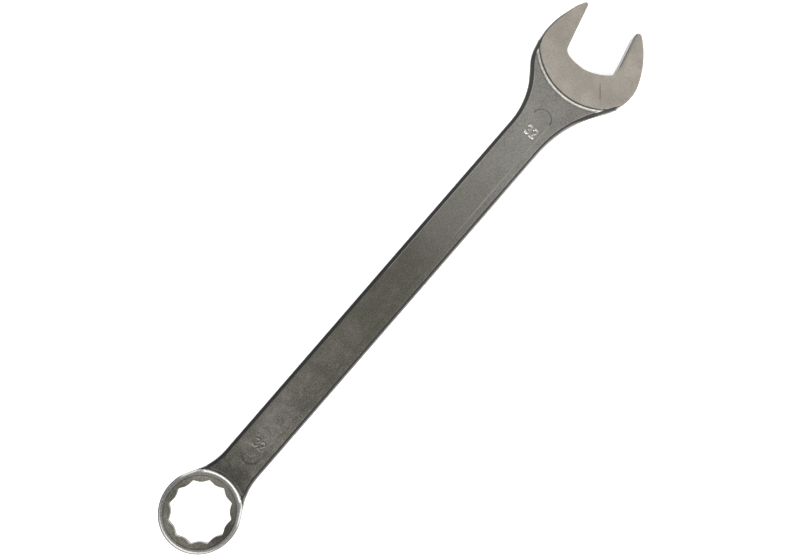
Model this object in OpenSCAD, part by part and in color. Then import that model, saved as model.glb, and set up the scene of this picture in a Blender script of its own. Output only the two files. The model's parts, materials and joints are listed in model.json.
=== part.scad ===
// Drop-forged combination wrench: an open jaw turned 15 degrees at one end and
// a 12-point ring cranked 15 degrees upward at the other, forged as one piece.
// Millimetres. +X runs along the shank toward the open jaw, +Z is the marked
// face, and Z = 0 is the surface the wrench lies on. The origin is under the
// middle of the bounding box.

/* [Overall] */
// Length between the ring centre and the open head centre, measured along X
centre_distance = 346.9; // [200:0.1:420]
// Width of the shank across its rounded sides
shank_w = 25.2; // [22:0.1:28]
// Thickness of the shank
shank_t = 9.5; // [8:0.1:11]
// How far the rounded sides bulge beyond the flat face
side_bulge = 1.9; // [1:0.1:2.4]

/* [Open head] */
// Width across the flats that the open jaw takes
jaw_gap = 32.2; // [28:0.1:34]
// Angle between the jaw and the shank
jaw_angle = 15; // [12:0.5:18]
// Sideways offset of the jaw's middle from the head centre
jaw_offset = 0.95; // [0:0.05:1.5]
// Thickness of the open head
head_t = 13; // [12:0.1:14]
// Radius of the head around its centre
head_r = 32.15; // [31.5:0.05:33]
// Radius of the back edge of the raised ground face
pad_r = 39; // [37:0.1:42]
// Radius of the jaw's floor
floor_r = 28.4; // [26:0.1:32]
// Depth of the jaw's floor behind the head centre
floor_depth = 4.7; // [3:0.1:5.5]
// Rounding of the shorter jaw's tip
tip_r = 2.2; // [1.6:0.1:3]
// Reach of the longer jaw ahead of the head centre, along the jaw
long_reach = 31.7; // [30:0.1:33]

/* [Ring] */
// Width across the flats that the 12-point ring takes
ring_af = 32.2; // [28:0.1:33]
// Outside radius of the ring
ring_r = 24; // [23:0.1:27]
// Thickness of the ring
ring_t = 18; // [17:0.1:20]
// Upward angle of the ring
crank_angle = 15; // [12:0.5:17]
// Turn of the 12 points about the ring's axis
point_turn = -5; // [-15:0.5:15]
// Radius of the bore that blunts the teeth between the points
tooth_bore_r = 16.95; // [16.8:0.05:17.4]
// Outer radius of the lead-in chamfer at each face
lead_in_r = 20.8; // [20:0.1:21.4]

/* [Shank panel] */
// Half width of the sunk panel on each face of the shank
panel_half_w = 5.9; // [4:0.1:8]
// Depth of the sunk panel
panel_depth = 0.35; // [0.2:0.05:0.8]

/* [Hidden] */
$fn = 96;
eps = 0.01;
beyond = 80;                                // cutting shapes reach this far past the head or the ring
steel = [0.42, 0.41, 0.38];

shank_z = head_t / 2;                       // middle of the shank's thickness
half_w = shank_w / 2;
flat_half = half_w - side_bulge;            // half width of the flat face
bulge_r = (pow(shank_t / 2, 2) + pow(side_bulge, 2)) / (2 * side_bulge);
lap = 1.6;                                  // how far an edge strip runs into the plate beside it

// Outline arcs of the head, about its centre: [x, y, radius]
upper_jaw = [0, -16, 48.15];
lower_jaw = [-10.8, 20.12, 54.3];
upper_neck = [-55, half_w + 47.6, 47.6];
lower_neck = [-58.7, -half_w - 71, 71];
neck_start = -58.7;                         // where the shank ends and the neck begins
step_h = (head_t - shank_t) / 2;            // rise of the ground face above the neck
step_run = 1.3;                             // how far the step slopes out at its foot
edge = 0.8;                                 // small bevel around the head
pad_x = pad_r - 23.4;                       // centre of the ground face's back edge
belly_x = 6;                                // where the shorter jaw's arc takes over from the head's circle

// Crank: the ring's low side rests on Z = 0, which sets the straight run between bend and ring centre
rim = 2;                                    // rounding of the ring rim
ring_z = (ring_r - rim) * sin(crank_angle) + (ring_t / 2 - rim) * cos(crank_angle) + rim;
crank_bend = 12.8;                          // radius of the bend
crank_run = (ring_z - shank_z - crank_bend * (1 - cos(crank_angle))) / sin(crank_angle);
crank_x = crank_run * cos(crank_angle) + crank_bend * sin(crank_angle);
web_r = 27.6;                               // hollow between ring and shank
web_x = sqrt(pow(ring_r + web_r, 2) - pow(half_w + web_r, 2));
web_start = 12;                             // start of the web, well under the ring's blank
web_a = atan2(half_w + web_r, web_x);       // where the hollow meets the ring
web_flat = 20;                              // half width of the web at the ring
web_end = 269.9;                            // angle where the hollow ends, a hair short of the shank's side

// Floor of the jaw
floor_x = floor_r - floor_depth;
wide_corner = 4.5;
tight_corner = 2;

// Tip of the shorter jaw: a small arc that runs into the jaw's outer arc. Its far side ends the box along
// X, and the ring's rim ends it the other way, which together centre the part on the origin
outer_along = lower_jaw[0] * cos(jaw_angle) + lower_jaw[1] * sin(jaw_angle);
outer_across = lower_jaw[1] * cos(jaw_angle) - lower_jaw[0] * sin(jaw_angle);
tip_across = -jaw_gap / 2 - jaw_offset - tip_r;
tip_along = outer_along + sqrt(pow(lower_jaw[2] - tip_r, 2) - pow(tip_across - outer_across, 2));
tip_meet = atan2(tip_across - outer_across, tip_along - outer_along);
head_reach = tip_along * cos(jaw_angle) - tip_across * sin(jaw_angle) + tip_r;
ring_reach = (ring_r - rim) * cos(crank_angle) + (ring_t / 2 - rim) * sin(crank_angle) + rim;
head_x = (centre_distance - head_reach + ring_reach) / 2;
ring_x = head_x - centre_distance;
bend_x = ring_x + crank_x;
panel_start = ring_x + 45;                  // centres of the sunk panel's round ends
panel_end = head_x - 43.1;

// Where the hollow sides of the neck run into the head's back
upper_span = norm([upper_neck[0] - upper_jaw[0], upper_neck[1] - upper_jaw[1]]);
upper_turn = acos((pow(upper_neck[2], 2) + pow(upper_span, 2) - pow(upper_jaw[2], 2))
    / (2 * upper_neck[2] * upper_span));
upper_meet = atan2(upper_jaw[1] - upper_neck[1], upper_jaw[0] - upper_neck[0]) + upper_turn;
upper_meet_x = upper_neck[0] + upper_neck[2] * cos(upper_meet);
lower_meet = atan2(-lower_neck[1], -lower_neck[0]);
plate_end = -19;                            // where the neck's flat face gives way to the head's own circles
back_end = -2;                              // where those end, well under the raised ground face
ledge = 0.05;                               // how far a flat face runs out over the rounded side beneath it
plate_high = 25.4;
plate_low = 23.2;

// ---- edge strips: the rounded side of the shank, x = 0 on its outermost line ----

module side_profile() {
    intersection() {
        translate([bulge_r, 0]) circle(bulge_r);
        translate([0, -shank_t / 2]) square([side_bulge, shank_t]);
    }
    translate([side_bulge - eps, lap / 2 - shank_t / 2]) square([lap, shank_t - lap]);
}

module shank_section() {
    for (s = [0, 1]) mirror([s, 0]) translate([-half_w, 0]) side_profile();
    translate([-flat_half - eps, -shank_t / 2]) square([2 * flat_half + 2 * eps, shank_t]);
}

// A straight length of the shank's section, running from x = 0 toward +X
module straight_shank(len) {
    rotate([90, 0, 90]) linear_extrude(len) shank_section();
}

// A hollow curved side: the section swept about [x, y] with the metal outside radius r
module hollow_side(c, a0, a1) {
    translate([c[0], c[1], 0]) rotate([0, 0, a0])
        rotate_extrude(angle = a1 - a0) translate([c[2], 0]) side_profile();
}

// The rounded side all round a disc of radius r
module round_side(r) {
    rotate_extrude() translate([r, 0]) mirror([1, 0]) side_profile();
}

// A full disc of the head's thickness with bevelled edges
module head_disc(r) {
    rotate_extrude() polygon([
        [0, -head_t / 2], [r - edge, -head_t / 2], [r, -head_t / 2 + edge],
        [r, head_t / 2 - edge], [r - edge, head_t / 2], [0, head_t / 2]
    ]);
}

// ---- open head, about its own centre, middle of thickness at z = 0 ----

// Flat face of the neck, from the shank to well under the raised ground face
module neck_plan() {
    difference() {
        translate([neck_start, -plate_low]) square([plate_end - neck_start, plate_low + plate_high]);
        translate([upper_neck[0], upper_neck[1]]) circle(upper_neck[2] + side_bulge - ledge);
        translate([neck_start - 1, flat_half + ledge]) square([upper_neck[0] - neck_start + 1, plate_high]);
        translate([lower_neck[0], lower_neck[1]]) circle(lower_neck[2] + side_bulge - ledge);
    }
    intersection() {
        circle(head_r - side_bulge);
        translate([-beyond, -beyond]) square([beyond + back_end, 2 * beyond]);
    }
    intersection() {
        translate([upper_jaw[0], upper_jaw[1]]) circle(upper_jaw[2] - side_bulge);
        translate([plate_end - 1, 0]) square([back_end - plate_end + 1, beyond]);
    }
}

module neck() {
    linear_extrude(shank_t, center = true) neck_plan();
    translate([neck_start, 0, 0]) rotate([90, 0, 90]) linear_extrude(upper_neck[0] - neck_start)
        translate([half_w, 0]) mirror([1, 0]) side_profile();
    hollow_side(upper_neck, -90, upper_meet + 1);
    hollow_side(lower_neck, lower_meet, 90);
    intersection() {
        round_side(head_r - ledge);
        translate([-beyond, -beyond, -head_t]) cube([beyond + back_end, beyond, 2 * head_t]);
    }
    intersection() {
        translate([upper_jaw[0], upper_jaw[1], 0]) round_side(upper_jaw[2] - ledge);
        translate([upper_meet_x, 0, -head_t]) cube([back_end - upper_meet_x, beyond, 2 * head_t]);
    }
}

// The raised ground face and everything under it
module head_blank() {
    intersection() {
        union() {
            head_disc(head_r);
            translate([-beyond, 0, -head_t / 2]) cube([2 * beyond, beyond, head_t]);
            translate([belly_x, -beyond, -head_t / 2]) cube([beyond, beyond + 1, head_t]);
        }
        translate([upper_jaw[0], upper_jaw[1], 0]) head_disc(upper_jaw[2]);
        translate([lower_jaw[0], lower_jaw[1], 0]) head_disc(lower_jaw[2]);
        translate([pad_x, 0, 0]) union() {
            for (s = [0, 1]) mirror([0, 0, s])
                translate([0, 0, shank_t / 2]) cylinder(h = step_h, r1 = pad_r + step_run, r2 = pad_r);
            cylinder(h = shank_t, r = pad_r + step_run, center = true);
        }
    }
}

// Points of an arc about c with radius r from angle a0 to a1
function arc(c, r, a0, a1, n) = [
    for (i = [0:n]) let (a = a0 + (a1 - a0) * i / n) [c[0] + r * cos(a), c[1] + r * sin(a)]];

// Centre of a corner of radius r that joins the jaw's floor to its face at y = side * jaw_gap / 2
function corner(r, side) = [
    floor_x - sqrt(pow(floor_r - r, 2) - pow(jaw_gap / 2 - r, 2)), side * (jaw_gap / 2 - r)];
// Angle of the point where that corner meets the floor, seen from the floor's centre
function corner_angle(r, side) = atan2(corner(r, side)[1], corner(r, side)[0] - floor_x);

// The space the jaw leaves open: +X is the jaw's own direction, its middle on y = 0
module mouth() {
    wide = corner(wide_corner, 1);
    tight = corner(tight_corner, -1);
    wide_a = corner_angle(wide_corner, 1);
    tight_a = corner_angle(tight_corner, -1) + 360;
    linear_extrude(2 * head_t, center = true) polygon(concat(
        [[long_reach, jaw_gap / 2]],
        arc(wide, wide_corner, 90, wide_a, 5),
        arc([floor_x, 0], floor_r, wide_a, tight_a, 16),
        arc(tight, tight_corner, tight_a, 270, 4),
        arc([tip_along, -jaw_gap / 2 - tip_r], tip_r, 90, tip_meet, 8),
        [[tip_along + beyond * cos(tip_meet), beyond * sin(tip_meet)]],
        [[beyond, beyond], [long_reach, beyond]]
    ));
}

module open_head() {
    difference() {
        union() {
            neck();
            head_blank();
        }
        rotate([0, 0, jaw_angle]) translate([0, -jaw_offset, 0]) mouth();
    }
}

// ---- ring, about its own centre, +X toward the shank, axis along Z ----

module ring_blank() {
    h = ring_t / 2;
    rotate_extrude() {
        square([ring_r - rim, h]);
        mirror([0, 1]) square([ring_r - rim, h]);
        translate([0, rim - h]) square([ring_r, ring_t - 2 * rim]);
        for (s = [-1, 1]) intersection() {
            translate([ring_r - rim, s * (h - rim)]) circle(rim);
            translate([ring_r - rim, s * (h - rim / 2) - rim / 2]) square(rim);
        }
    }
}

// Twelve points, the bore that blunts the teeth between them, and the lead-ins
module ring_hole() {
    h = ring_t / 2;
    lead_depth = lead_in_r - tooth_bore_r;
    for (turn = [0, 30])
        rotate([0, 0, point_turn + turn])
            cylinder(h = ring_t + 2, r = ring_af / sqrt(3), center = true, $fn = 6);
    cylinder(h = ring_t + 2, r = tooth_bore_r, center = true);
    for (s = [0, 1]) mirror([0, 0, s])
        translate([0, 0, h - lead_depth]) cylinder(h = lead_depth + 1, r1 = tooth_bore_r, r2 = lead_in_r + 1);
}

// The shank's run from the bend into the ring, widening into the ring
module ring_web() {
    run = crank_run - web_start;
    translate([web_start, 0, 0]) straight_shank(run);
    difference() {
        translate([web_start, -web_flat, -shank_t / 2]) cube([run, 2 * web_flat, shank_t]);
        for (s = [-1, 1]) translate([web_x, s * (half_w + web_r), 0])
            cylinder(h = 2 * shank_t, r = web_r + side_bulge - ledge, center = true);
    }
    intersection() {
        for (s = [0, 1]) mirror([0, s, 0])
            hollow_side([web_x, half_w + web_r, web_r], 180 + web_a, web_end);
        translate([0, -beyond, -shank_t]) cube([crank_run, 2 * beyond, 2 * shank_t]);
    }
}

module ring_end() {
    difference() {
        union() {
            ring_blank();
            ring_web();
        }
        ring_hole();
    }
}

// The bend that lifts the ring: starts at the shank, at the origin, and runs toward -X
module crank() {
    translate([0, 0, crank_bend]) rotate([-90, 90, 0])
        rotate_extrude(angle = crank_angle) translate([crank_bend, 0]) rotate([0, 0, 90]) shank_section();
}

// Sunk panel on each face of the shank, a slot with round ends
module shank_panels() {
    for (s = [0, 1]) mirror([0, 0, s])
        translate([0, 0, shank_t / 2 - panel_depth]) linear_extrude(panel_depth + 1) {
            translate([panel_start, 0]) circle(panel_half_w);
            translate([panel_end, 0]) circle(panel_half_w);
            translate([panel_start, -panel_half_w]) square([panel_end - panel_start, 2 * panel_half_w]);
        }
}

module wrench() {
    color(steel) difference() {
        union() {
            translate([head_x, 0, shank_z]) open_head();
            translate([bend_x, 0, shank_z]) straight_shank(head_x + neck_start - bend_x);
            translate([bend_x, 0, shank_z]) crank();
            translate([ring_x, 0, ring_z]) rotate([0, crank_angle, 0]) ring_end();
        }
        translate([0, 0, shank_z]) shank_panels();
    }
}

wrench();
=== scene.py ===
"""A forged combination wrench lying on a pale floor, drawn as one refined forging over its CAD frame.

The forging is laid out on a flat plan: u runs along the shank and v across it, from the frame's origin.
Its outline carries a rounded side wall, its two faces are height maps over the plan, and the ring end of
the plan is then bent up by the crank. Lengths are in millimetres until the mesh is made."""
import json
from math import cos, pi, radians, sin, sqrt, tau

import bpy
import numpy as np
from mathutils import Vector
from mathutils.geometry import delaunay_2d_cdt
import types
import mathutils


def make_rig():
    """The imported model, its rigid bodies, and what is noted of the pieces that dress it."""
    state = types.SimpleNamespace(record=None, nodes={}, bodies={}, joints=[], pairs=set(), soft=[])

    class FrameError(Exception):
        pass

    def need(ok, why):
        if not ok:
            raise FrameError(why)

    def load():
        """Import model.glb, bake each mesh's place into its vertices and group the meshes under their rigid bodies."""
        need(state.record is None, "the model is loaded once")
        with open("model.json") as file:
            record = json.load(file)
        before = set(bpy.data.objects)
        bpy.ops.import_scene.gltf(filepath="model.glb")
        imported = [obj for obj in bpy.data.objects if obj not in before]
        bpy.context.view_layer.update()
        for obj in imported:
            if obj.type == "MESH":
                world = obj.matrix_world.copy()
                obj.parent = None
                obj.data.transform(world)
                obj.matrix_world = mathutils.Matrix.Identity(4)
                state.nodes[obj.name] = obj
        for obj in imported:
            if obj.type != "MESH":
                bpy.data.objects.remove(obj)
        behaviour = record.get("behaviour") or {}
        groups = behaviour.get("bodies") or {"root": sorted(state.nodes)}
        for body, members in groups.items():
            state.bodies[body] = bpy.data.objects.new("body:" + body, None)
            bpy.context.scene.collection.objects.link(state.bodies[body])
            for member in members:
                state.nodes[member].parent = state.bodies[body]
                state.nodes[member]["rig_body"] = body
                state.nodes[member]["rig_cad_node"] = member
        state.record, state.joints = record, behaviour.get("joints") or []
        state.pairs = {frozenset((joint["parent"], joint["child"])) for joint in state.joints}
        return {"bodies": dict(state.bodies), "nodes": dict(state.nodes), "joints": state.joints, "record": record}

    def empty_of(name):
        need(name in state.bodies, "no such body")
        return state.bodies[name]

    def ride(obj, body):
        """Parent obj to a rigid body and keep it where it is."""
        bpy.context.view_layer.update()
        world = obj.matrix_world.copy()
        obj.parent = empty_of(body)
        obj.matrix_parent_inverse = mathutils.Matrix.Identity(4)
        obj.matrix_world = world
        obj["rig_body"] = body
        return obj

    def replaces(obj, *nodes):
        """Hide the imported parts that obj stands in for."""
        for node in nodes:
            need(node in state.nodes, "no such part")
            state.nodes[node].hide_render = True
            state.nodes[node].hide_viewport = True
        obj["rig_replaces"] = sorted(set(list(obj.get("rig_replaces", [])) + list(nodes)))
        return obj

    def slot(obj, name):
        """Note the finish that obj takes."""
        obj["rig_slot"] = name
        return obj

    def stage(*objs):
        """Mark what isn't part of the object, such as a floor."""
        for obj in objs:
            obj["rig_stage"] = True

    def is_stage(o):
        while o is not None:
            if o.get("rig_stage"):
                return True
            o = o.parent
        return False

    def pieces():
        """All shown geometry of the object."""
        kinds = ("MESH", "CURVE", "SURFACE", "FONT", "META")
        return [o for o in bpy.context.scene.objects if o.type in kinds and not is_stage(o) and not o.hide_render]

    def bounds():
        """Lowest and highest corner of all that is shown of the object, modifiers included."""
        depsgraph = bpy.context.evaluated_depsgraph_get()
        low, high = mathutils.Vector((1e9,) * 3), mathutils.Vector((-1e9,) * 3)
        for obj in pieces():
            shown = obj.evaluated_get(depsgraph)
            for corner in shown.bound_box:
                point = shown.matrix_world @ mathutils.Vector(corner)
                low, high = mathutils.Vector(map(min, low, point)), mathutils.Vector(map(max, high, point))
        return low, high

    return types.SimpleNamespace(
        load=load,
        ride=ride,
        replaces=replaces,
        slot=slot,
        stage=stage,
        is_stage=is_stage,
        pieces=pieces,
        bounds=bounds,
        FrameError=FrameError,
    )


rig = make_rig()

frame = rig.load()
cad_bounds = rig.bounds()
MOUNTS = {m["name"]: m for m in frame["record"]["mounts"]}
MM = 0.001

# ---- driving sizes, as in the CAD ----
HEAD_HALF = 6.5          # half thickness of the open head, and height of the shank's middle
SHANK_HALF = 4.75        # half thickness of the shank
HALF_W = 12.6            # half width of the shank
BULGE = 1.9              # how far the shank's side bulges beyond its flat face
JAW_ANGLE = radians(15)
JAW_GAP = 32.2
JAW_OFFSET = 0.95
CRANK = radians(15)
RING_R = 24.0
RING_HALF = 9.0          # half thickness of the ring
RING_AF = 32.2
TOOTH_R = 16.95          # bore that blunts the teeth
LEAD_R = 20.8            # outer edge of the lead-in chamfer
POINT_TURN = radians(-5)
RIM = 2.0                # rounding of the ring's rim
BEND_R = 47.0            # radius of the crank's bend, a slow one on the forging
PANEL_HALF = 5.9         # half width of the sunk panel
PANEL_V = -0.6           # the panel's middle line, a little off the shank's own

# Places on the plan, from the mounts of the frame
jaw_long = np.array(MOUNTS["jaw_face_long"]["pos_m"][:2]) / MM
jaw_dir = np.array([cos(JAW_ANGLE), sin(JAW_ANGLE)])
jaw_out = np.array([-sin(JAW_ANGLE), cos(JAW_ANGLE)])
JAW_REACH = 15.0         # how far along the jaw its mounts are
head = jaw_long - JAW_REACH * jaw_dir - (JAW_GAP / 2 - JAW_OFFSET) * jaw_out
HEAD_U = float(head[0])
ring_at = MOUNTS["ring_socket"]["pos_m"]
RING_X, RING_Z = ring_at[0] / MM, ring_at[2] / MM
rise = RING_Z - HEAD_HALF
CRANK_RUN = (rise - BEND_R * (1 - cos(CRANK))) / sin(CRANK)
BEND_U = RING_X + CRANK_RUN * cos(CRANK) + BEND_R * sin(CRANK)
BEND_LEN = BEND_R * CRANK
RING_U = BEND_U - BEND_LEN - CRANK_RUN


# ---- outline of the plan ----

def arc(centre, r, a0, a1, step=0.9):
    """Points from angle a0 to a1 (degrees) about centre."""
    n = max(2, int(abs(radians(a1 - a0)) * r / step) + 1)
    a = np.radians(np.linspace(a0, a1, n + 1))
    return np.c_[centre[0] + r * np.cos(a), centre[1] + r * np.sin(a)]


def line(p, q, step=2.0):
    """Evenly spaced points from p to q."""
    n = max(1, int(np.hypot(q[0] - p[0], q[1] - p[1]) / step))
    return np.linspace(p, q, n + 1)


def cross(c1, r1, c2, r2, side):
    """Where two circles cross, on the chosen side of the line from c1 to c2."""
    d = np.array(c2, float) - c1
    dist = np.hypot(*d)
    a = (r1 * r1 - r2 * r2 + dist * dist) / (2 * dist)
    h = sqrt(max(0.0, r1 * r1 - a * a))
    return np.array(c1) + d / dist * a + side * h * np.array([-d[1], d[0]]) / dist


def angle(c, p):
    """Direction from c to p, in degrees."""
    return np.degrees(np.arctan2(p[1] - c[1], p[0] - c[0]))


def jaw(along, across):
    """A point given along and across the jaw's own direction, from the head centre."""
    return along * jaw_dir + across * jaw_out


def ring_outline():
    """The ring and the hollows beside it, from the shank's lower edge round to its upper edge."""
    web_r = 36.4
    web_u = sqrt((RING_R + web_r) ** 2 - (HALF_W + web_r) ** 2)
    low, high = (web_u, -HALF_W - web_r), (web_u, HALF_W + web_r)
    meet = angle((0, 0), high)
    parts = [
        arc(high, web_r, -90, -180 + meet, 0.7),
        arc((0, 0), RING_R, meet, 360 - meet, 0.7),
        arc(low, web_r, 180 - meet, 90, 0.7),
    ]
    return [p + (RING_U, 0) for p in parts]


def head_outline():
    """The neck, the head and the jaw's mouth, from the shank's lower edge round to its upper edge."""
    upper_jaw, upper_r = (0, -16), 48.15
    lower_jaw, lower_r = np.array([-10.8, 20.12]), 54.3
    upper_neck, upper_neck_r = (-55, HALF_W + 47.6), 47.6
    lower_neck, lower_neck_r = (-58.7, -HALF_W - 71), 71
    head_r = 32.15
    floor_r, floor_back = 28.4, 4.7
    wide, tight, tip = 4.5, 2.0, 2.2
    long_reach, long_tip = 31.7, 0.9
    long_face, short_face = JAW_GAP / 2 - JAW_OFFSET, -JAW_GAP / 2 - JAW_OFFSET

    a = cross((0, 0), head_r, lower_neck, lower_neck_r, 1)
    b = cross((0, 0), head_r, lower_jaw, lower_r, 1)
    tip_across = short_face - tip
    to_tip = tip_across - lower_jaw @ jaw_out
    tip_along = lower_jaw @ jaw_dir + sqrt((lower_r - tip) ** 2 - to_tip ** 2)
    short_tip = jaw(tip_along, tip_across)
    long_outer = cross(upper_jaw, upper_r, jaw(long_reach - long_tip, long_face + 0.8), long_tip, -1)
    floor_c = jaw(floor_r - floor_back, -JAW_OFFSET)
    turn = np.degrees(JAW_ANGLE)

    def corner(r, side):
        """Centre of a floor corner, and the angle at which it meets the floor."""
        back = sqrt((floor_r - r) ** 2 - (JAW_GAP / 2 - r) ** 2)
        c = jaw(floor_r - floor_back - back, side * (JAW_GAP / 2 - r) - JAW_OFFSET)
        return c, angle(floor_c, c) % 360

    wide_c, wide_a = corner(wide, 1)
    tight_c, tight_a = corner(tight, -1)
    parts = [
        arc(lower_neck, lower_neck_r, 90, angle(lower_neck, a)),
        arc((0, 0), head_r, angle((0, 0), a), angle((0, 0), b)),
        arc(lower_jaw, lower_r, angle(lower_jaw, b), angle(lower_jaw, short_tip)),
        arc(short_tip, tip, angle(lower_jaw, short_tip), turn + 90, 0.4),
        line(jaw(tip_along, short_face), jaw(3.0, short_face), 0.9)[1:-1],
        arc(tight_c, tight, turn + 270, tight_a, 0.4),
        arc(floor_c, floor_r, tight_a, wide_a),
        arc(wide_c, wide, wide_a, turn + 90, 0.5),
        line(jaw(7.0, long_face), jaw(long_reach - 0.7, long_face), 0.9),
        [jaw(long_reach, long_face + 0.7), jaw(long_reach + 0.1, long_face + 1.5)],
    ]
    top = cross(upper_jaw, upper_r, upper_neck, upper_neck_r, -1)
    parts += [
        arc(upper_jaw, upper_r, angle(upper_jaw, long_outer), angle(upper_jaw, top)),
        arc(upper_neck, upper_neck_r, angle(upper_neck, top), -90),
    ]
    return [np.array(p) + (HEAD_U, 0) for p in parts]


def outline():
    """The whole silhouette, anticlockwise."""
    ring, mouth = ring_outline(), head_outline()
    upper = line(mouth[-1][-1], ring[0][0])
    lower = line(ring[-1][-1], mouth[0][0])
    pts = np.concatenate([*mouth, upper, *ring, lower])
    keep = np.hypot(*(pts - np.roll(pts, 1, 0)).T) > 0.15
    return pts[keep]


def rounded(pts, spacing=0.8):
    """The outline at even spacing, with the forging's soft corners where the neck meets the head's back."""
    ends = np.vstack([pts, pts[:1]])
    run = np.r_[0, np.cumsum(np.hypot(*np.diff(ends, axis=0).T))]
    n = int(run[-1] / spacing)
    s = np.arange(n) * run[-1] / n
    p = np.c_[np.interp(s, run, ends[:, 0]), np.interp(s, run, ends[:, 1])]
    back = (np.abs(p[:, 0] - (HEAD_U - 17)) < 14) & (np.abs(p[:, 1]) > 18)
    waist = np.abs(p[:, 0] - (RING_U + 14)) < 6
    for passes, where in ((3, np.ones(n, bool)), (40, back | waist)):
        for _ in range(passes):
            mean = (np.roll(p, 1, 0) + 2 * p + np.roll(p, -1, 0)) / 4
            p = np.where(where[:, None], mean, p)
    return p


def inward(p):
    """Unit vectors into the metal at each point of an anticlockwise outline."""
    t = np.roll(p, -1, 0) - np.roll(p, 1, 0)
    t /= np.hypot(*t.T)[:, None]
    return np.c_[-t[:, 1], t[:, 0]]


# ---- heights of the two faces above the middle plane ----

PAD_R = 39.0             # back edge of the raised ground face
PAD_U = HEAD_U + 15.6    # centre of that edge
STEP_DROP = 0.6          # steep part of the step at the pad's edge
STEP_RUN = 2.4           # how far the step's hollow foot runs out
PANEL_U = (RING_U + 45.0, HEAD_U - 43.1)
NEAR_HEAD = (HEAD_U - 52.4, -0.6)    # middles of the two size numbers
NEAR_RING = (RING_U + 52.3, -0.3)
SCRATCH_AT = (HEAD_U - 8.9, -16.0)   # middle of a fine scratch on the ground face
SCRATCH_TURN = radians(40.9)
SCRATCH_HALF = 6.2       # half its length
SCRATCH_SIDE = 0.45      # half its width, with its soft edges
PANEL_DEPTH = 0.3
STEEP_RUN = 0.4          # how far the steep part of the step runs out
NUMBER_HIGH = 0.4        # height of the size number near the head
NUMBER_LOW = 0.18        # and of the fainter one near the ring


def smooth(x):
    """0 to 1 in a soft S as x goes from 0 to 1."""
    x = np.clip(x, 0, 1)
    return x * x * (3 - 2 * x)


def panel(u, v):
    """1 inside the sunk panel, fading to 0 over its edge, which is softer on the longer jaw's side."""
    along = np.clip(u, *PANEL_U)
    soft = 0.8 + 3.5 * smooth((v - 2.0) / 3.0)
    return smooth((PANEL_HALF - np.hypot(u - along, v - PANEL_V)) / soft + 0.5)


def step(u, v):
    """The raised ground face: a steep edge, then a hollow foot that runs out onto the neck."""
    out = np.hypot(u - PAD_U, v) - PAD_R
    drop = STEP_DROP * (1 - np.clip(out / STEEP_RUN, 0, 1))
    past = np.clip((out - STEEP_RUN) / (STEP_RUN - STEEP_RUN), 0, 1)
    foot = (HEAD_HALF - SHANK_HALF - STEP_DROP) * (1 - past) ** 2
    return drop + foot


def ring_height(u, v):
    """How far the ring stands above the shank's face, with its rounded rim and a hollow foot."""
    r = np.hypot(u - RING_U, v)
    rim = np.sqrt(np.clip(RIM ** 2 - np.clip(r - (RING_R - RIM), 0, RIM) ** 2, 0, None))
    crown = RING_HALF - RIM + rim - SHANK_HALF
    knee = RING_R - 0.3
    knee_h = RING_HALF - RIM + sqrt(RIM ** 2 - (RIM - 0.3) ** 2) - SHANK_HALF
    foot = knee_h * (1 - np.clip((r - knee) / 1.6, 0, 1)) ** 2
    return np.where(r < knee, crown, foot)


def stroke_distance(a, b, strokes):
    """Distance from each point to the nearest stroke."""
    best = np.full(np.shape(a), 1e9)
    for pts in strokes:
        for (x0, y0), (x1, y1) in zip(pts[:-1], pts[1:]):
            dx, dy = x1 - x0, y1 - y0
            t = np.clip(((a - x0) * dx + (b - y0) * dy) / (dx * dx + dy * dy), 0, 1)
            best = np.minimum(best, np.hypot(a - x0 - t * dx, b - y0 - t * dy))
    return best


def numerals():
    """Plain strokes of the size number, 5 tall, as (right, up) about its middle."""
    three = [*arc((-2.0, 1.3), 1.2, 150, -70, 0.5), *arc((-2.0, -1.15), 1.4, 70, -150, 0.5)]
    two = [*arc((1.95, 1.25), 1.3, 165, -30, 0.5), (0.75, -2.5), (3.4, -2.5)]
    return [three, two]


def numeral_height(u, v, centre, height):
    """The raised size number, reading across the shank with its top toward the open jaw."""
    near = (np.abs(u - centre[0]) < 5) & (np.abs(v - centre[1]) < 6.5)
    out = np.zeros(np.shape(u))
    d = stroke_distance(-(v[near] - centre[1]), u[near] - centre[0], numerals())
    out[near] = height * smooth((0.6 - d) / 0.4)
    return out


def face_height(u, v, marked):
    """Height of a face above the middle plane. The marked face carries the size numbers."""
    fade = 0.45 + 0.55 * smooth(np.abs(u - sum(PANEL_U) / 2) / 110 - 0.3)
    h = SHANK_HALF - PANEL_DEPTH * fade * panel(u, v) + step(u, v) + ring_height(u, v)
    if marked:
        h = h + numeral_height(u, v, NEAR_HEAD, NUMBER_HIGH) + numeral_height(u, v, NEAR_RING, NUMBER_LOW)
    return h


# ---- mesh ----

def bend(u, v, z):
    """Plan to row frame, in metres: the ring end turns up about the crank."""
    s = np.clip(BEND_U - u, 0, None)
    on_bend = np.minimum(s, BEND_LEN)
    a = on_bend / BEND_R
    straight = s - on_bend
    x = np.where(s > 0, BEND_U - (BEND_R - z) * np.sin(a) - straight * cos(CRANK), u)
    h = HEAD_HALF + BEND_R - (BEND_R - z) * np.cos(a) + straight * sin(CRANK)
    return np.c_[x, v, h] * MM


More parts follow.
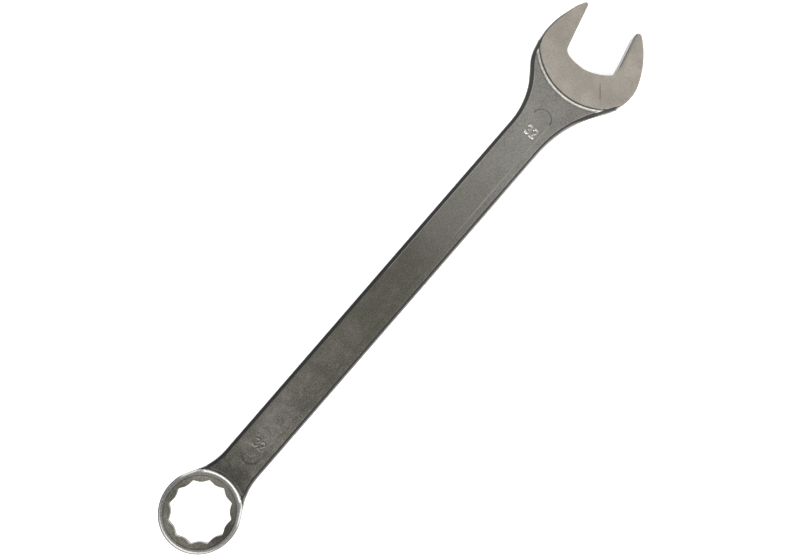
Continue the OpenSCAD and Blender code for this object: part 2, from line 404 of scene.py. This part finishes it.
def side_rows(p):
    """Rows of the side wall from the middle plane up to the face: (plan points, heights), outermost first."""
    n = inward(p)
    from_ring = np.hypot(p[:, 0] - RING_U, p[:, 1])
    off_ring = smooth((from_ring - 24.2) / 5)
    rel = p[:, 0] - HEAD_U
    on_head = smooth((rel + 13) / 8)
    inner = mouth_part(p)
    bulge = 0.3 + (BULGE - 0.3) * off_ring
    upper = smooth((p[:, 1] - 14) / 5) * smooth((22 - rel) / 9)
    bulge += (0.12 + 0.95 * upper - bulge) * on_head
    bulge = np.where(inner, 0.02, bulge)
    edge = RIM + (0.45 - RIM) * off_ring
    across = (p - head) @ jaw_out + JAW_OFFSET
    # wear: the mouth's bevel is wider on the shorter jaw's side
    wear_and_highlight = smooth(-across / 10) * smooth(((p - head) @ jaw_dir - 2) / 6)
    edge = np.where(inner, 0.3 + 1.3 * wear_and_highlight, edge)
    lean = 0.5 * edge * bulge
    inset = p + n * (bulge + lean + edge)[:, None]
    top = face_height(inset[:, 0], inset[:, 1], False)
    wall = top - edge
    rows = []
    for f in (0, 0.2, 0.4, 0.6, 0.8, 1.0):
        rows.append((p + n * (bulge * f * f)[:, None], wall * f))
    for f in (0.25, 0.5, 0.75, 1.0):
        rows.append((p + n * (bulge + 2 * f * (1 - f) * lean + f * f * (lean + edge))[:, None],
                     wall + edge * (2 * f - f * f)))
    return rows


def mouth_part(p):
    """True for the points of the outline that face into the jaw's mouth."""
    along = (p - head) @ jaw_dir
    across = (p - head) @ jaw_out + JAW_OFFSET
    return (along > -4.5) & (along < 31.0) & (np.abs(across) < JAW_GAP / 2 + 0.25)


def socket_rows():
    """Rows of the 12-point hole, lead-in to middle plane, as (radius, height) at each angle."""
    per_point = 24
    a = np.arange(12 * per_point) * tau / (12 * per_point) + POINT_TURN
    off = np.abs((a - POINT_TURN + pi / 12) % (pi / 6) - pi / 12)
    flat = RING_AF / 2 / np.cos(pi / 6 - off)
    corner = RING_AF / sqrt(3) - 0.12
    points = np.clip(flat, TOOTH_R, corner)
    rows = []
    lip = 0.35
    for f in (0.0, 0.5, 1.0):
        radius, height = LEAD_R + lip - lip * f, RING_HALF - lip * f * f * 0.6
        rows.append((np.full(a.shape, radius), np.full(a.shape, height)))
    top_r, top_h = rows[-1]
    foot_h = top_h - (top_r - points)
    for f in (0.25, 0.5, 0.75, 1.0):
        rows.append((top_r + (points - top_r) * f, top_h + (foot_h - top_h) * f))
    for f in (0.7, 0.35, 0.0):
        rows.append((points, foot_h * f))
    return a, rows


def inside(pts, loop):
    """True for points within a closed loop, by crossings."""
    x, y = pts[:, 0], pts[:, 1]
    hit = np.zeros(len(pts), bool)
    for (x0, y0), (x1, y1) in zip(loop, np.roll(loop, -1, 0)):
        if y0 == y1:
            continue
        cut = (y0 > y) != (y1 > y)
        hit ^= cut & (x < (x1 - x0) * (y - y0) / (y1 - y0) + x0)
    return hit


def ring_grid(centre, radii, a0, a1, gap):
    """Arcs about one centre, with their points in line with each other."""
    n = int(radians(a1 - a0) * radii[0] / gap)
    a, r = np.meshgrid(np.radians(np.linspace(a0, a1, n + 1)), radii)
    return np.c_[centre[0] + (r * np.cos(a)).ravel(), centre[1] + (r * np.sin(a)).ravel()]


def block_grid(u0, u1, v0, v1, gap):
    """A square grid of points over a rectangle of the plan."""
    u, v = np.meshgrid(np.arange(u0, u1, gap), np.arange(v0, v1, gap))
    return np.c_[u.ravel(), v.ravel()]


def face_points(edge_loop):
    """Points inside a face: an even scatter, closer along the steps, the panel's edge and the numbers."""
    def rows(lo, hi, gap):
        return np.arange(lo, hi, gap)

    fine = [
        ring_grid((PAD_U, 0), rows(PAD_R - 0.4, PAD_R + STEP_RUN + 1.0, 0.2), 115, 245, 0.6),
        ring_grid((RING_U, 0), rows(RING_R - 1.9, RING_R + 4.2, 0.3), -70, 70, 0.8),
        ring_grid((PANEL_U[1], PANEL_V), rows(PANEL_HALF - 0.6, PANEL_HALF + 0.7, 0.25), -90, 90, 0.6),
        ring_grid((PANEL_U[0], PANEL_V), rows(PANEL_HALF - 0.6, PANEL_HALF + 0.7, 0.25), 90, 270, 0.6),
    ]
    for side in (-1, 1):
        for off in rows(-0.6, 0.7, 0.3):
            v = side * (PANEL_HALF + off) + PANEL_V
            fine.append(line((PANEL_U[0], v), (PANEL_U[1], v), 1.6))
    for c in (NEAR_HEAD, NEAR_RING):
        fine.append(block_grid(c[0] - 4, c[0] + 4.2, c[1] - 5, c[1] + 5.1, 0.22))
    fine = np.concatenate(fine)
    coarse = block_grid(edge_loop[:, 0].min(), edge_loop[:, 0].max(), -34, 34, 1.9)
    cells = {(int(x // 1.2), int(y // 1.2)) for x, y in fine}
    clear = [(int(x // 1.2), int(y // 1.2)) not in cells for x, y in coarse]
    pts = np.concatenate([fine, coarse[clear]])
    away = np.hypot(pts[:, 0] - RING_U, pts[:, 1]) > LEAD_R + 0.75
    pts = pts[away & inside(pts, edge_loop)]
    near = np.full(len(pts), 1e9)
    for q in edge_loop:
        near = np.minimum(near, (pts[:, 0] - q[0]) ** 2 + (pts[:, 1] - q[1]) ** 2)
    return pts[near > 0.45 ** 2]


def forging_mesh():
    """The whole forging as one closed mesh: side wall, socket wall and the two faces."""
    p = rounded(outline())
    n = len(p)
    rows = side_rows(p)
    count = len(rows)
    verts, faces = [], []

    # side wall: the rows above the middle plane and their mirror below
    for k in range(count - 1, 0, -1):
        q, h = rows[k]
        verts.append(bend(q[:, 0], q[:, 1], h))
    for k in range(count):
        q, h = rows[k]
        verts.append(bend(q[:, 0], q[:, 1], -h))
    i = np.arange(n)
    j = (i + 1) % n
    for k in range(2 * count - 2):
        faces += np.c_[k * n + j, k * n + i, (k + 1) * n + i, (k + 1) * n + j].tolist()
    top_loop, bottom_loop = 0, (2 * count - 2) * n
    base = (2 * count - 1) * n

    # socket wall, likewise
    a, holes = socket_rows()
    m = len(a)
    levels = [(r, h) for r, h in holes] + [(r, -h) for r, h in holes[-2::-1]]
    for r, h in levels:
        verts.append(bend(RING_U + r * np.cos(a), r * np.sin(a), h))
    i = np.arange(m)
    j = (i + 1) % m
    for k in range(len(levels) - 1):
        faces += (base + np.c_[k * m + i, k * m + j, (k + 1) * m + j, (k + 1) * m + i]).tolist()
    hole_top, hole_bottom = base, base + (len(levels) - 1) * m
    base += len(levels) * m

    # faces
    edge_loop = rows[-1][0]
    hole_loop = np.c_[RING_U + holes[0][0] * np.cos(a), holes[0][0] * np.sin(a)]
    inner = face_points(edge_loop)
    flat = np.concatenate([edge_loop, hole_loop, inner])
    edges = [(k, (k + 1) % n) for k in range(n)] + [(n + k, n + (k + 1) % m) for k in range(m)]
    out = delaunay_2d_cdt([Vector(q) for q in flat], edges, [], 0, 1e-7)
    tris = np.array(out[2])
    origin = np.array([o[0] if o else -1 for o in out[3]])
    tris = origin[tris]
    tris = tris[(tris >= 0).all(1)]
    mid = flat[tris].mean(1)
    tris = tris[inside(mid, edge_loop) & ~inside(mid, hole_loop)]
    for marked, loop, hole in ((True, top_loop, hole_top), (False, bottom_loop, hole_bottom)):
        h = face_height(inner[:, 0], inner[:, 1], marked)
        verts.append(bend(inner[:, 0], inner[:, 1], h if marked else -h))
        place = np.concatenate([loop + np.arange(n), hole + np.arange(m), base + np.arange(len(inner))])
        t = place[tris]
        faces += (t if marked else t[:, ::-1]).tolist()
        base += len(inner)

    mesh = bpy.data.meshes.new("wrench_forging")
    mesh.from_pydata(np.concatenate(verts).tolist(), [], faces)
    mesh.validate()
    mesh.shade_smooth()
    mesh.set_sharp_from_angle(angle=radians(38))
    return mesh


forging = bpy.data.objects.new("wrench_forging", forging_mesh())
bpy.context.scene.collection.objects.link(forging)
normals = forging.modifiers.new("normals", "WEIGHTED_NORMAL")
normals.keep_sharp = True
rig.replaces(forging, "wrench")
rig.ride(forging, "root")
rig.slot(forging, "forged_steel")


# ---- materials ----

class Graph:
    """Short calls for building a material's nodes."""

    def __init__(self, name):
        self.material = bpy.data.materials.new(name)
        self.material.use_nodes = True
        self.nodes = self.material.node_tree.nodes
        self.links = self.material.node_tree.links
        self.shader = self.nodes["Principled BSDF"]

    def add(self, kind, inputs=(), **settings):
        node = self.nodes.new(kind)
        for key, value in settings.items():
            setattr(node, key, value)
        for key, value in dict(inputs).items():
            self.set(node, key, value)
        return node

    def set(self, node, key, value):
        if isinstance(value, bpy.types.NodeSocket):
            self.links.new(value, node.inputs[key])
        else:
            node.inputs[key].default_value = value

    def place(self, scale=(1, 1, 1)):
        at = self.add("ShaderNodeTexCoord").outputs["Object"]
        return self.add("ShaderNodeMapping", {"Vector": at, "Scale": scale}).outputs["Vector"]

    def noise(self, scale, detail=3.0, rough=0.5, stretch=(1, 1, 1)):
        inputs = {"Vector": self.place(stretch), "Scale": scale, "Detail": detail, "Roughness": rough}
        return self.add("ShaderNodeTexNoise", inputs).outputs["Fac"]

    def ramp(self, value, low, high, to_low=0.0, to_high=1.0):
        inputs = {"Value": value, "From Min": low, "From Max": high, "To Min": to_low, "To Max": to_high}
        return self.add("ShaderNodeMapRange", inputs, interpolation_type="SMOOTHSTEP").outputs["Result"]

    def zone(self, name):
        """A zone that paint_zones left on the mesh, from 0 to 1."""
        return self.add("ShaderNodeAttribute", attribute_name=name).outputs["Fac"]

    def line_mask(self, middle, turn, half, width):
        """1 on a fine straight line in the plan, 0 off it (millimetres)."""
        at = self.add("ShaderNodeTexCoord").outputs["Object"]
        middle = (middle[0] * MM, middle[1] * MM, 0)
        at = self.add("ShaderNodeVectorMath", {0: at, 1: middle}, operation="SUBTRACT")
        parts = []
        for way, reach in (((cos(turn), sin(turn), 0), half), ((-sin(turn), cos(turn), 0), width)):
            dot = self.add("ShaderNodeVectorMath", {0: at.outputs[0], 1: way}, operation="DOT_PRODUCT")
            off = self.math("ABSOLUTE", dot.outputs["Value"], 0)
            parts.append(self.ramp(off, 0.6 * reach * MM, reach * MM, 1, 0))
        return self.math("MULTIPLY", *parts)

    def math(self, operation, a, b):
        return self.add("ShaderNodeMath", {0: a, 1: b}, operation=operation).outputs[0]

    def mix(self, factor, a, b):
        node = self.add("ShaderNodeMix", data_type="RGBA")
        self.set(node, "Factor", factor)
        self.set(node, 6, a)
        self.set(node, 7, b)
        return node.outputs[2]

    def bump(self, height, strength, distance, normal=None):
        inputs = {"Height": height, "Strength": strength, "Distance": distance}
        if normal is not None:
            inputs["Normal"] = normal
        return self.add("ShaderNodeBump", inputs).outputs["Normal"]


def steel_material():
    """Satin plated forging: the head's ground faces are paler and finely blasted, the rest a darker grey, with painted
    light along the shank, painted shade on the walls, steps and lead-in, and painted highlights on the ring's rim and
    two edge lines.
    """
    g = Graph("forged_steel")
    ground = g.zone("ground")
    along = g.zone("along")
    painted_shade = g.zone("painted_shade")
    rim = g.zone("rim")
    lead = g.zone("lead")
    wear_and_highlight = g.zone("wear_and_highlight")
    tint = g.noise(140, 4, 0.65)
    cloud = g.noise(24, 3, 0.55)
    blotch = g.noise(90, 4, 0.6)
    mottle = g.noise(1000, 4, 0.75)
    grain = g.noise(1700, 3, 0.7)
    scuff = g.noise(260, 4, 0.7, (0.25, 1, 1))

    # painted light and shade along the shank: the body is painted much darker toward the ring end and paler toward the
    # head, standing in for how the light falls
    body = g.mix(g.ramp(along, 0.05, 0.4), (0.090, 0.088, 0.068, 1), (0.150, 0.146, 0.109, 1))
    body = g.mix(g.ramp(along, 0.5, 1.0), body, (0.60, 0.585, 0.53, 1))
    body = g.mix(g.ramp(cloud, 0.4, 0.72, 0, 0.5), body, (0.20, 0.185, 0.165, 1))
    body = g.mix(g.ramp(tint, 0.42, 0.66, 0, 0.3), body, (0.33, 0.29, 0.29, 1))
    face = g.mix(g.ramp(blotch, 0.3, 0.75), (0.52, 0.475, 0.41, 1), (0.67, 0.615, 0.53, 1))
    color = g.mix(ground, body, face)
    # painted shade in the lead-in: the chamfer inside the ring is painted a darker olive
    color = g.mix(g.math("MULTIPLY", lead, 0.75), color, (0.085, 0.082, 0.058, 1))
    rolled = g.ramp(ground, 0, 1, 1, 0.55)
    specks = g.math("MULTIPLY", g.ramp(mottle, 0.36, 0.68, 0, 0.55), rolled)
    color = g.mix(specks, color, (0.10, 0.096, 0.08, 1))
    color = g.mix(g.ramp(grain, 0.48, 0.72, 0, 0.4), color, (0.62, 0.60, 0.56, 1))
    color = g.mix(g.ramp(scuff, 0.66, 0.76, 0, 0.35), color, (0.52, 0.51, 0.48, 1))
    # the ring's rim: polished, with lower roughness, and also a painted highlight, a much paler band wider toward the
    # shank
    color = g.mix(g.math("MULTIPLY", rim, 0.9), color, (0.55, 0.54, 0.515, 1))
    scratch = g.line_mask(SCRATCH_AT, SCRATCH_TURN, SCRATCH_HALF, SCRATCH_SIDE)
    scratch = g.math("MULTIPLY", g.math("MULTIPLY", scratch, ground), 0.5)
    color = g.mix(scratch, color, (0.10, 0.095, 0.085, 1))
    # painted highlight: pale lines along the +Y crease and the panel's -Y edge
    color = g.mix(wear_and_highlight, color, (0.75, 0.73, 0.69, 1))
    # painted shade: walls, roundings and step lines are mixed toward near black and lose their metal sheen below,
    # standing in for shade and the dim surroundings they reflect
    color = g.mix(g.math("MULTIPLY", painted_shade, 0.95), color, (0.022, 0.023, 0.024, 1))
    g.set(g.shader, "Base Color", color)
    unshaded = g.math("SUBTRACT", 1.0, painted_shade)
    g.set(g.shader, "Metallic", g.math("MULTIPLY", unshaded, 0.92))
    g.set(g.shader, "Specular IOR Level", g.math("MULTIPLY", unshaded, 0.5))

    rough = g.ramp(cloud, 0.3, 0.75, 0.34, 0.44)
    rough = g.math("ADD", rough, g.ramp(mottle, 0.3, 0.75, -0.03, 0.07))
    rough = g.math("ADD", rough, g.math("MULTIPLY", ground, 0.08))
    g.set(g.shader, "Roughness", g.math("SUBTRACT", rough, g.math("MULTIPLY", rim, 0.14)))

    normal = g.bump(cloud, 0.3, 0.0008)
    normal = g.bump(blotch, 0.3, 0.0003, normal)
    normal = g.bump(mottle, 0.45, 0.00006, normal)
    normal = g.bump(grain, 0.35, 0.00003, normal)
    g.set(g.shader, "Normal", normal)
    return g.material


def paint_zones(mesh):
    """Where the head's faces are ground, how far along the shank (the material's painted light gradient), the painted
    shade on walls, roundings and step lines, the ring's polished rim with its painted highlight, the painted shade in
    the lead-in, and painted highlight lines.
    """
    co = np.empty(len(mesh.vertices) * 3)
    mesh.vertices.foreach_get("co", co)
    x, v, z = (co.reshape(-1, 3) / MM).T
    normal = np.array([n.vector for n in mesh.vertex_normals])
    bent = CRANK * np.clip((BEND_U - x) / (BEND_R * sin(CRANK)), 0, 1)
    flat = np.abs(normal[:, 2] * np.cos(bent) + normal[:, 0] * np.sin(bent))

    off_pad = np.hypot(x - PAD_U, v) - PAD_R
    on_pad = smooth((0.15 - off_pad) / 0.3)
    level = smooth((np.abs(z - HEAD_HALF) - HEAD_HALF + 0.12) / 0.1)
    behind = (x < HEAD_U + 4) & (np.abs(v) < 31.5)
    # painted shade lines along the pad's step and at its foot
    step_shade_line = smooth(1.3 - np.abs(off_pad - 0.45) / 0.6) * behind
    step_shade_line = np.maximum(step_shade_line, 0.6 * smooth(1.3 - np.abs(off_pad - STEP_RUN) / 0.5) * behind)
    # where the step's foot faces up, its painted shade is held light
    foot = behind & (off_pad > 0.5) & (off_pad < STEP_RUN) & (flat > 0.72) & (z > HEAD_HALF)
    numbered = (np.abs(v) < 6) & ((np.abs(x - NEAR_HEAD[0]) < 4) | (np.abs(x - NEAR_RING[0]) < 4.5))
    # painted shade on slopes: walls and roundings are darkened, over a wider band on the +Y side and round the head's
    # back
    deep = np.maximum(smooth(normal[:, 1] + 0.5), smooth((x - HEAD_U + 34) / 12))
    slope = smooth((0.93 - flat) / 0.10) * ~numbered
    slope *= 1 - 0.55 * smooth((0.6 - 0.26 * deep - flat) / 0.22)
    out_of_mouth = (np.c_[x, v] - head) @ jaw_out + JAW_OFFSET
    in_mouth = (x > HEAD_U) & (np.abs(out_of_mouth) < JAW_GAP / 2 + 1.8)
    slope *= np.where(in_mouth, 0.85, 1)
    arc_end = np.abs(np.hypot(x - PANEL_U[1], v - PANEL_V) - PANEL_HALF)
    # painted shade line at the panel's end arc
    step_shade_line = np.maximum(step_shade_line, 0.9 * smooth(1.4 - arc_end / 0.4) * (x > PANEL_U[1]) * (flat > 0.9))
    # painted highlight lines: the +Y crease and the panel's -Y edge are painted paler
    crease = (np.abs(flat - 0.975) < 0.02) & (v > 9.5) & (x > 0) & ~in_mouth & (np.abs(x - HEAD_U + 16) > 8)
    ridge = 0.5 * smooth(1.3 - np.abs(v - PANEL_V + PANEL_HALF) / 0.35) * (x < PANEL_U[1]) * (flat > 0.9)
    ridge *= smooth((x - PANEL_U[1] + 110) / 60)

    # the ring's own axes: out from its axis, and up along it
    out_u = (x - RING_X) * cos(CRANK) - (z - RING_Z) * sin(CRANK)
    out = np.hypot(out_u, v)
    # the rim's painted highlight band runs wider on the side toward the shank and only where the face looks up
    rim_highlight_end = LEAD_R + 2.4 + 1.1 * smooth(out_u / RING_R * 2 - 0.4)
    rim = smooth((out - LEAD_R - 0.1) / 0.4) * smooth((rim_highlight_end - out) / 0.5) * (flat > 0.3)
    # painted shade for the ring's lead-in chamfer
    lead = smooth((LEAD_R + 0.1 - out) / 0.5)
    zones = {
        "ground": on_pad * level * (x > 0),
        "along": smooth((x - RING_X) / (HEAD_U - RING_X)),
        # painted shade on slopes and step lines, left off the rim and the lead-in
        "painted_shade": np.maximum(np.where(foot, 0.2, slope) * (1 - rim) * (1 - lead), step_shade_line),
        "rim": rim,
        "lead": lead,
        "wear_and_highlight": np.maximum(ridge, 0.6 * crease),
    }
    for name, values in zones.items():
        layer = mesh.attributes.new(name, "FLOAT", "POINT")
        layer.data.foreach_set("value", values.astype(np.float32))


paint_zones(forging.data)
forging.data.materials.append(steel_material())


# ---- floor, light and camera ----

FLOOR_GLOW = 0.62        # emission that keeps the pale floor evenly white
LENS = 41.13             # on a sensor 36 wide
CAMERA_AT = (0.001, 0.0004, 0.5475)  # metres, straight above the wrench
CAMERA_TURN = radians(-49.1)


def floor_material():
    """Matt, almost even pale grey."""
    g = Graph("pale_floor")
    tone = g.ramp(g.noise(3.0), 0.3, 0.7)
    g.set(g.shader, "Base Color", g.mix(tone, (0.90, 0.90, 0.90, 1), (0.92, 0.92, 0.92, 1)))
    g.shader.inputs["Roughness"].default_value = 0.9
    g.shader.inputs["Emission Color"].default_value = (1, 1, 1, 1)
    g.shader.inputs["Emission Strength"].default_value = FLOOR_GLOW
    return g.material


def make_floor(half=3.0):
    """A square floor, half its side in metres."""
    mesh = bpy.data.meshes.new("floor")
    corners = [(-half, -half, 0), (half, -half, 0), (half, half, 0), (-half, half, 0)]
    mesh.from_pydata(corners, [], [(0, 1, 2, 3)])
    mesh.materials.append(floor_material())
    floor = bpy.data.objects.new("floor", mesh)
    bpy.context.scene.collection.objects.link(floor)
    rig.stage(floor)


def make_world(top, ends, horizon, tilt):
    """A soft tent: dim overhead, bright panels past the two ends of the wrench, and a bright horizon."""
    world = bpy.data.worlds.new("studio")
    world.use_nodes = True
    tree = world.node_tree
    nodes, link = tree.nodes, tree.links.new

    def blend(value, low, high, gain):
        node = nodes.new("ShaderNodeMapRange")
        node.interpolation_type = "SMOOTHSTEP"
        link(value, node.inputs["Value"])
        for key, number in {"From Min": low, "From Max": high, "To Min": 0, "To Max": gain}.items():
            node.inputs[key].default_value = number
        return node.outputs["Result"]

    def both(operation, a, b):
        node = nodes.new("ShaderNodeMath")
        node.operation = operation
        for socket, value in zip(node.inputs, (a, b)):
            if isinstance(value, bpy.types.NodeSocket):
                link(value, socket)
            else:
                socket.default_value = value
        return node.outputs[0]

    way = nodes.new("ShaderNodeTexCoord").outputs["Generated"]
    parts = nodes.new("ShaderNodeSeparateXYZ")
    link(way, parts.inputs[0])
    light = both("ADD", blend(parts.outputs["X"], 0.5, 0.9, 0.6 * ends), top)
    light = both("ADD", light, blend(parts.outputs["X"], -0.3, -0.52, 1.2 * ends))
    light = both("ADD", light, blend(parts.outputs["Z"], 0.55, 0.15, horizon))
    lean = nodes.new("ShaderNodeVectorMath")
    lean.operation = "DOT_PRODUCT"
    link(way, lean.inputs[0])
    lean.inputs[1].default_value = tilt
    light = both("MULTIPLY", light, both("ADD", lean.outputs["Value"], 1.0))
    link(light, nodes["Background"].inputs["Strength"])
    nodes["Background"].inputs["Color"].default_value = (1, 1, 1, 1)
    bpy.context.scene.world = world


def make_camera():
    """Looks straight down, turned so that the wrench lies across the picture."""
    data = bpy.data.cameras.new("camera")
    data.sensor_width = 36
    data.lens = LENS
    data.clip_start = 0.01
    camera = bpy.data.objects.new("camera", data)
    camera.location = CAMERA_AT
    camera.rotation_euler = (0, 0, CAMERA_TURN)
    bpy.context.scene.collection.objects.link(camera)
    bpy.context.scene.camera = camera


make_floor()
make_world(top=0.3, ends=2.6, horizon=1.2, tilt=(0.2, -0.4, 0))
bpy.context.scene.view_settings.view_transform = "Standard"
make_camera()

with open("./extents.json", "w") as out:
    boxes = {"cad": cad_bounds, "visual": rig.bounds()}
    json.dump({k: [[float(c) for c in corner] for corner in b] for k, b in boxes.items()}, out)
